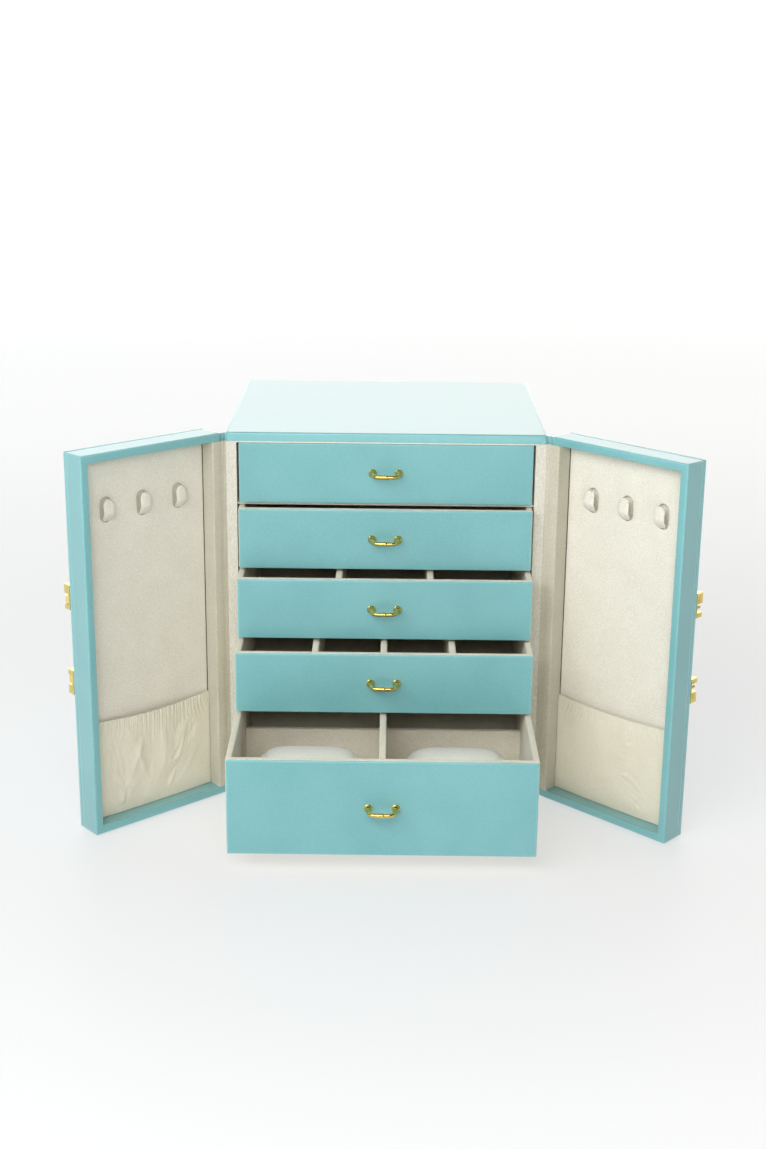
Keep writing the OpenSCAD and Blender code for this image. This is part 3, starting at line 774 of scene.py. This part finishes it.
def build_dividers():
    thick = 5.2
    partition_back, partition_top = 128, 65.0
    for k, positions in ((1, (0,)), (3, (-36, 36)), (4, (-53.5, 0, 53.5)), (5, (0,))):
        low, high = box_mm(f"drawer_{k}_tray")
        node = "drawer_1_divider" if k == 1 else f"drawer_{k}_dividers"
        node_top = box_mm(node)[1].z
        for n, x in enumerate(positions):
            obj = object_from(f"drawer_{k}_divider_{n + 1}", block_mesh(
                (x - thick / 2, low.y + DRAWER_WALL - LET_IN, low.z + DRAWER_FLOOR - LET_IN),
                (x + thick / 2, high.y - DRAWER_WALL + LET_IN, node_top)))
            if k == 5:
                cross_y = box_mm("drawer_5_front")[0].y + partition_back
                join_on(obj, [block_mesh(
                    (low.x + DRAWER_WALL - LET_IN, cross_y, low.z + DRAWER_FLOOR - LET_IN),
                    (high.x - DRAWER_WALL + LET_IN, cross_y + thick, partition_top))])
            round_edges(obj, 1.2, 3)
            finish_piece(obj, f"drawer_{k}", tray_warm_shade_suede, node if n == 0 else (), 50.0)


def build_handle(k):
    """Bow handle: two domed, ringed feet and a rounded bow with a small bead at its middle."""
    low, high = box_mm(f"drawer_{k}_handle")
    mid_z = (low.z + high.z) / 2
    face_y = high.y
    half, reach, bar, bend, lean = 10.25, 12.5, 1.6, 5.0, 0.9
    path, radii = [], []

    def to(x, y, r):
        path.append(Vector((x, face_y - y, mid_z)))
        radii.append(r)

    # a flat ring, a groove, a dome and a short neck, from the drawer outwards
    foot = [(0.0, 3.3), (0.5, 3.35), (0.75, 3.2), (0.85, 2.85), (1.0, 2.8), (1.2, 3.0), (1.7, 2.95),
            (2.3, 2.65), (2.8, 2.25), (3.2, 1.95), (3.6, 1.8), (4.2, 1.75), (5.4, 1.75)]
    leg_end = reach - bend
    for y, r in foot:
        to(-half + lean * max(0, y - 2) / leg_end, y, r)
    inner = half - lean
    for n in range(0, 11):
        a = math.pi / 2 * n / 10
        to(-inner + bend * (1 - math.cos(a)), leg_end + bend * math.sin(a), 1.75 - 0.15 * n / 10)
    for n in range(1, 16):
        t = n / 16 * 2 - 1
        x = t * (inner - bend)
        swell = 0.3 * math.exp(-(x / 0.9) ** 2) + 0.1 * math.exp(-(x / 3) ** 2)
        to(x, reach + 0.2 * (1 - t * t), bar + swell)
    for n in range(10, -1, -1):
        a = math.pi / 2 * n / 10
        to(inner - bend * (1 - math.cos(a)), leg_end + bend * math.sin(a), 1.75 - 0.15 * n / 10)
    for y, r in reversed(foot):
        to(half - lean * max(0, y - 2) / leg_end, y, r)
    bm = bmesh.new()
    lathe_path(bm, path, radii)
    bmesh.ops.recalc_face_normals(bm, faces=bm.faces)
    obj = object_from(f"drawer_{k}_bow_handle", bm)
    finish_piece(obj, f"drawer_{k}", gold, f"drawer_{k}_handle", 60.0)


for k in range(1, 6):
    build_tray(k)
    build_handle(k)
build_dividers()


# ---------------------------------------------------------------- soft goods

def run_cloth(obj, frames, settings):
    """Lets the cloth settle for a number of frames and keeps the shape it ends in."""
    cloth = obj.modifiers.new("settle", "CLOTH")
    settings(cloth)
    scene = bpy.context.scene
    cloth.point_cache.frame_start = 1
    cloth.point_cache.frame_end = frames
    scene.frame_start, scene.frame_end = 1, frames
    for f in range(1, frames + 1):
        scene.frame_set(f)
    applied(obj)
    scene.frame_set(1)
    return obj


def crease(s, t, a, b, depth, width):
    """Height of a fold that runs from point a to point b and fades towards both ends."""
    run = Vector((b[0] - a[0], b[1] - a[1]))
    length = run.length
    along = run / length
    off = Vector((s - a[0], t - a[1]))
    lengthwise = off.dot(along) / length
    sideways = off.x * -along.y + off.y * along.x
    fade = math.exp(-(max(0, -lengthwise) * length / 6) ** 2 - (max(0, lengthwise - 1) * length / 6) ** 2)
    return depth * fade / (1 + (sideways / width) ** 2)


# folds of each pocket: start and end (distance from the free edge, height), depth, width
POCKET_FOLDS = {
    "left": [((17, 56), (24, 12), 2.6, 2.6), ((41, 52), (25, 11), 2.2, 3.0),
             ((33, 66), (44, 36), 1.6, 3.0), ((8, 58), (16, 34), -1.4, 3.0),
             ((64, 58), (70, 24), 1.3, 4.0), ((92, 58), (72, 14), 2.3, 3.0),
             ((52, 62), (50, 30), -1.3, 5.0), ((82, 62), (76, 36), -1.2, 4.0),
             ((14, 30), (10, 8), -1.2, 4.5)],
    "right": [((100, 56), (86, 10), 1.5, 2.6), ((38, 62), (44, 40), -1.8, 3.0),
              ((40, 32), (28, 8), 2.0, 2.4), ((70, 60), (62, 18), -1.2, 7.0),
              ((22, 58), (16, 26), 0.9, 6.0), ((84, 60), (92, 36), 0.8, 6.0)],
}


def build_pocket(door):
    """Elastic pocket: a sheet cut wider than the tray, gathered on a narrow elastic hem."""
    left, right = RIM + 0.5, DOOR_W - RIM - 0.5
    bottom, top = DOOR_Z0 + RIM + 0.4, box_mm(f"{door.name}_pocket")[1].z
    width, height = right - left, top - bottom
    gather, rise = 1.16, 1.06
    cols, rows = 150, 96
    rng = random.Random(21 if door.side == "left" else 5)
    phases = [rng.uniform(0, 6.28) for _ in range(6)]
    strong = 1.0 if door.side == "left" else 0.45
    hem = 6.0
    mesh = bpy.data.meshes.new(f"{door.name}_elastic_pocket")
    verts, flat = [], []
    for r in range(rows + 1):
        t = r / rows * height
        for c in range(cols + 1):
            s = c / cols
            from_free = (1 - s) * width
            full = math.sin(math.pi * min(1, 0.18 + 0.82 * t / height) * 0.5)
            belly = 4.2 * math.sin(math.pi * s) ** 0.7 * full
            out = 1.0 + belly
            for a, b, depth, spread in POCKET_FOLDS[door.side]:
                out += crease(from_free, t, a, b, depth, spread) * math.sin(math.pi * s) ** 0.25
            # fine gathers under the elastic, which die away downwards
            below = max(0.0, height - hem - t)
            fade = math.exp(-below / 9)
            wave = math.sin(s * width * 2.9 + 2.2 * math.sin(s * 17 + phases[0]) + 0.02 * t)
            wave += 0.6 * math.sin(s * width * 1.7 + phases[1] + 1.4 * math.sin(s * 9 + phases[2]))
            out += 0.42 * (0.35 + 0.65 * strong) * fade * wave * min(1, 12 * s, 12 * (1 - s))
            out = min(max(out, 0.5), 8.0)
            sag = 2.2 * math.sin(math.pi * s) * (t / height) ** 2 * strong
            verts.append((s * width, t - sag, out))
            flat.append((s * width * gather - width * (gather - 1) / 2, t * rise - sag, 3.0))
    wide = cols + 1
    faces = [(r * wide + c, r * wide + c + 1, (r + 1) * wide + c + 1, (r + 1) * wide + c)
             for r in range(rows) for c in range(cols)]
    mesh.from_pydata([Vector(v) * MM for v in verts], [], faces)
    obj = bpy.data.objects.new(mesh.name, mesh)
    bpy.context.collection.objects.link(obj)
    obj.shape_key_add(name="as_gathered")
    cut = obj.shape_key_add(name="as_cut")
    for n, v in enumerate(flat):
        cut.data[n].co = Vector(v) * MM
    cut.value = 0.0
    held = obj.vertex_groups.new(name="sewn")
    for r in range(rows + 1):
        for c in range(cols + 1):
            edge = min(c, cols - c, r)
            n = r * wide + c
            if edge == 0 or r == rows:
                held.add([n], 1.0, "REPLACE")
            elif edge == 1 or r > rows - 6:
                held.add([n], 0.6, "REPLACE")
    tray = object_from(f"{door.name}_pocket_back", block_mesh((-8, -8, -6), (width + 8, height + 30, 0)))
    tray.modifiers.new("stop", "COLLISION")
    tray.collision.thickness_outer = 0.0004

    def settings(cloth):
        s = cloth.settings
        s.quality = 6
        s.mass = 0.12
        s.tension_stiffness = s.compression_stiffness = 12
        s.shear_stiffness = 6
        s.bending_stiffness = 0.35
        s.tension_damping = s.compression_damping = 8
        s.bending_damping = 2
        s.vertex_group_mass = "sewn"
        s.pin_stiffness = 1.0
        s.rest_shape_key = cut
        s.effector_weights.gravity = 0.0
        cloth.collision_settings.distance_min = 0.0004
        cloth.collision_settings.use_self_collision = False

    run_cloth(obj, 16, settings)
    discard(tray)
    obj.shape_key_clear()
    for v in obj.data.vertices:
        s, t, out = v.co / MM
        out = min(max(out, 0.45), 9.0)
        v.co = door.at(left + s, TRAY - out, bottom + t) * MM
    thick = obj.modifiers.new("cloth", "SOLIDIFY")
    thick.thickness = 0.45 * MM
    thick.offset = 0
    applied(obj)
    finish_piece(obj, door.name, stretch_cloth, f"{door.name}_pocket", 80.0)


for door in DOORS:
    build_pocket(door)


def bolster(name, size):
    """A closed cushion shape: a squarish round section that closes over well rounded ends."""
    section, ends = 2.6, 4.5
    bm = bmesh.new()
    bmesh.ops.create_cube(bm, size=2)
    bmesh.ops.subdivide_edges(bm, edges=bm.edges, cuts=17, use_grid_fill=True)
    for v in bm.verts:
        across = (abs(v.co.y) ** section + abs(v.co.z) ** section) ** (1 / section)
        small, large = 0.2, 1.2
        for _ in range(30):
            scale = (small + large) / 2
            if (scale * across) ** section + (scale * abs(v.co.x)) ** ends > 1:
                large = scale
            else:
                small = scale
        v.co = Vector((v.co.x * size[0], v.co.y * size[1], v.co.z * size[2])) * scale / 2 * MM
    return object_from(name, bm)


def swell(obj, frames=20, pressure=4.0, cap=6.0):
    """Fills a closed cushion with air and lets its cover stretch, no further than cap."""
    applied_remesh(obj)

    def settings(cloth):
        s = cloth.settings
        s.quality = 5
        s.use_pressure = True
        s.uniform_pressure_force = pressure
        s.tension_stiffness = s.compression_stiffness = 15
        s.bending_stiffness = 0.5
        s.effector_weights.gravity = 0.0

    start = [v.co.copy() for v in obj.data.vertices]
    run_cloth(obj, frames, settings)
    for v, old in zip(obj.data.vertices, start):
        move = v.co - old
        if move.length > cap * MM:
            v.co = old + move.normalized() * cap * MM
    return obj


def applied_remesh(obj, voxel=3.5):
    remesh = obj.modifiers.new("even_mesh", "REMESH")
    remesh.mode = "VOXEL"
    remesh.voxel_size = voxel * MM
    return applied(obj)


def build_cushions():
    """Two watch cushions: full rounded bolsters with a sewn seam round each end."""
    low, high = box_mm("watch_pillow_left")
    size = high - low
    pattern = bolster("cushion_pattern", (size.x - 2, size.y - 2, size.z + 2))
    swell(pattern, 14, 2.0, 1.5)
    smooth = pattern.modifiers.new("smooth", "SUBSURF")
    smooth.levels = smooth.render_levels = 1
    applied(pattern)
    half = size.x / 2
    for v in pattern.data.vertices:
        p = v.co / MM
        seam = math.exp(-((abs(p.x) - half * 0.80) / 1.1) ** 2)
        pull = 1 - 0.035 * seam
        pucker = 0.012 * seam * math.sin(math.atan2(p.z, p.y) * 42)
        v.co = Vector((p.x, p.y * (pull + pucker), p.z * (pull + pucker))) * MM
    for side in ("left", "right"):
        low, high = box_mm(f"watch_pillow_{side}")
        middle = (low + high) / 2
        obj = bpy.data.objects.new(f"watch_cushion_{side}", pattern.data.copy())
        bpy.context.collection.objects.link(obj)
        flip = -1 if side == "right" else 1
        for v in obj.data.vertices:
            p = v.co / MM
            z = p.z + middle.z
            lowest = low.z + 0.1
            z = max(z, lowest + 0.02 * (z - lowest))
            v.co = Vector((p.x * flip + middle.x, p.y + middle.y, min(z, high.z + 1.5))) * MM
        finish_piece(obj, "drawer_5", cushion_cloth, f"watch_pillow_{side}", 80.0)
    discard(pattern)


def build_ring_rolls():
    """Foam rolls wrapped in suede, side by side, that grip rings between them."""
    low, high = box_mm("drawer_1_ring_rolls")
    count, radius, around, round_end = 11, 7.5, 24, 2.6
    pitch = (high.y - low.y - 2 * radius) / (count - 1)
    rng = random.Random(3)
    bm = bmesh.new()
    for n in range(count):
        mid_y = low.y + radius + pitch * n
        mid_z = low.z + radius
        seed = rng.uniform(0, 50)
        rings = []
        stations = 46
        for i in range(stations + 1):
            t = i / stations
            x = low.x + 0.2 + (high.x - low.x - 0.4) * t
            end = min(t, 1 - t) * (high.x - low.x)
            round_off = math.sqrt(max(0.0, 1 - (max(0.0, round_end - end) / round_end) ** 2))
            ring = []
            for a in range(around):
                angle = 2 * math.pi * a / around
                r = radius * (0.55 + 0.45 * round_off) if end < round_end else radius
                r *= 1 + 0.012 * noise.noise(Vector((x * 0.12, angle * 1.5, seed)))
                spot = Vector((x, mid_y + r * math.cos(angle), mid_z + r * math.sin(angle)))
                ring.append(bm.verts.new(spot * MM))
            rings.append(ring)
        skin_rings(bm, rings)
    bmesh.ops.recalc_face_normals(bm, faces=bm.faces)
    obj = object_from("ring_rolls_padded", bm)
    finish_piece(obj, "drawer_1", cushion_cloth, "drawer_1_ring_rolls", 60.0)


build_cushions()
build_ring_rolls()


# ---------------------------------------------------------------- finishes of the remaining CAD pieces

def dress(node, material):
    obj = frame["nodes"][node]
    obj.data.materials.clear()
    obj.data.materials.append(material)


for node in ("top_panel", "base_panel", "side_panel_left", "side_panel_right", "back_panel"):
    dress(node, board)
dress("base_felt", felt)
for side in ("left", "right"):
    dress(f"door_{side}_lining", suede)
for node in ("clasp_plates", "clasp_pins", "clasp_plate_rivets", "clasp_hasp_upper", "clasp_hasp_lower",
             "clasp_keepers", "clasp_keeper_rivets"):
    dress(node, gold)
for k in range(1, 6):
    dress(f"drawer_{k}_screws", steel)


# ---------------------------------------------------------------- room: floor and light

def ramp(tree, value, start, end, to_start=0.0, to_end=1.0):
    node = add(tree, "ShaderNodeMapRange", interpolation_type="SMOOTHSTEP")
    tree.links.new(value, node.inputs["Value"])
    for label, number in (("From Min", start), ("From Max", end), ("To Min", to_start), ("To Max", to_end)):
        node.inputs[label].default_value = number
    return node.outputs["Result"]


def build_floor():
    """Pale matte floor that glows with painted light: dimmer near the box, brightening to white away from
    it.
    """
    bm = bmesh.new()
    for x, y in ((-9, -9), (9, -9), (9, 16), (-9, 16)):
        bm.verts.new((x, y, 0))
    bm.faces.new(bm.verts)
    floor = object_from("white_floor", bm)
    material, tree, shader = new_material("white_matte_floor")
    shader.inputs["Base Color"].default_value = (0.36, 0.36, 0.365, 1)
    shader.inputs["Roughness"].default_value = 0.5
    shader.inputs["Specular IOR Level"].default_value = 0.25
    away = add(tree, "ShaderNodeVectorMath", operation="LENGTH")
    tree.links.new(add(tree, "ShaderNodeNewGeometry").outputs["Position"], away.inputs[0])
    # painted light: the floor's glow is dimmer near the box and brighter away from it
    near = ramp(tree, away.outputs["Value"], 0.25, 1.6, 0.54, 0.68)
    far = ramp(tree, away.outputs["Value"], 1.4, 5.0, 0.0, 0.27)
    glow = tint(tree, math_node(tree, "ADD", near, far), (0, 0, 0, 1), (0.99, 1.0, 1.0, 1))
    tree.links.new(glow, shader.inputs["Emission Color"])
    shader.inputs["Emission Strength"].default_value = 1.0
    floor.data.materials.append(material)


def build_sky():
    """Dim room with a bright wall behind the box and a white horizon all round."""
    world = bpy.data.worlds.new("white_room")
    world.use_nodes = True
    tree = world.node_tree
    sky = tree.nodes["Background"]
    way = add(tree, "ShaderNodeSeparateXYZ")
    tree.links.new(add(tree, "ShaderNodeTexCoord").outputs["Generated"], way.inputs[0])
    x, y, z = way.outputs
    wall = math_node(tree, "MULTIPLY", ramp(tree, y, 0.1, 0.6), ramp(tree, z, 0.75, 0.35))
    horizon = ramp(tree, math_node(tree, "ABSOLUTE", z), 0.16, 0.06)
    strength = math_node(tree, "MULTIPLY_ADD", wall, 2.2, 0.12)
    strength = math_node(tree, "MAXIMUM", strength, horizon)
    tree.links.new(strength, sky.inputs["Strength"])
    warm_side = math_node(tree, "MULTIPLY", ramp(tree, x, -0.5, 0.7), ramp(tree, z, 0.1, 0.3))
    tree.links.new(tint(tree, warm_side, (0.95, 0.985, 1.0, 1), (1.0, 0.90, 0.76, 1)), sky.inputs["Color"])
    bpy.context.scene.world = world


def soft_light(name, azimuth, elevation, distance, size, power, colour=(1, 1, 1), aim=(0, -0.1, 0.13)):
    """A softbox aimed at the box; azimuth runs to the right from straight ahead."""
    data = bpy.data.lights.new(name, "AREA")
    data.shape = "RECTANGLE"
    data.size, data.size_y = size
    data.energy = power
    data.color = colour
    lamp = bpy.data.objects.new(name, data)
    lamp.visible_camera = False
    bpy.context.collection.objects.link(lamp)
    a, e = math.radians(azimuth), math.radians(elevation)
    aim = Vector(aim)
    way = Vector((math.sin(a) * math.cos(e), -math.cos(a) * math.cos(e), math.sin(e)))
    lamp.location = aim + distance * way
    lamp.rotation_euler = (aim - lamp.location).to_track_quat("-Z", "Y").to_euler()


def build_room():
    build_floor()
    build_sky()
    soft_light("left_softbox", -50, 28, 2.0, (1.3, 1.3), 13, (0.95, 0.99, 1.0))
    soft_light("front_softbox", -24, 40, 2.1, (1.7, 0.9), 17)
    soft_light("low_front_softbox", 0, 36, 0.95, (0.6, 0.3), 3.6, aim=(0, -0.2, 0.04))
    soft_light("right_fill", 62, 25, 2.2, (0.9, 1.0), 1.5, (1.0, 0.86, 0.66))
    soft_light("overhead_softbox", 160, 70, 1.7, (1.2, 1.0), 4)
    view = bpy.context.scene.view_settings
    view.view_transform = "Standard"
    view.look = "None"
    view.exposure = -0.1


build_room()
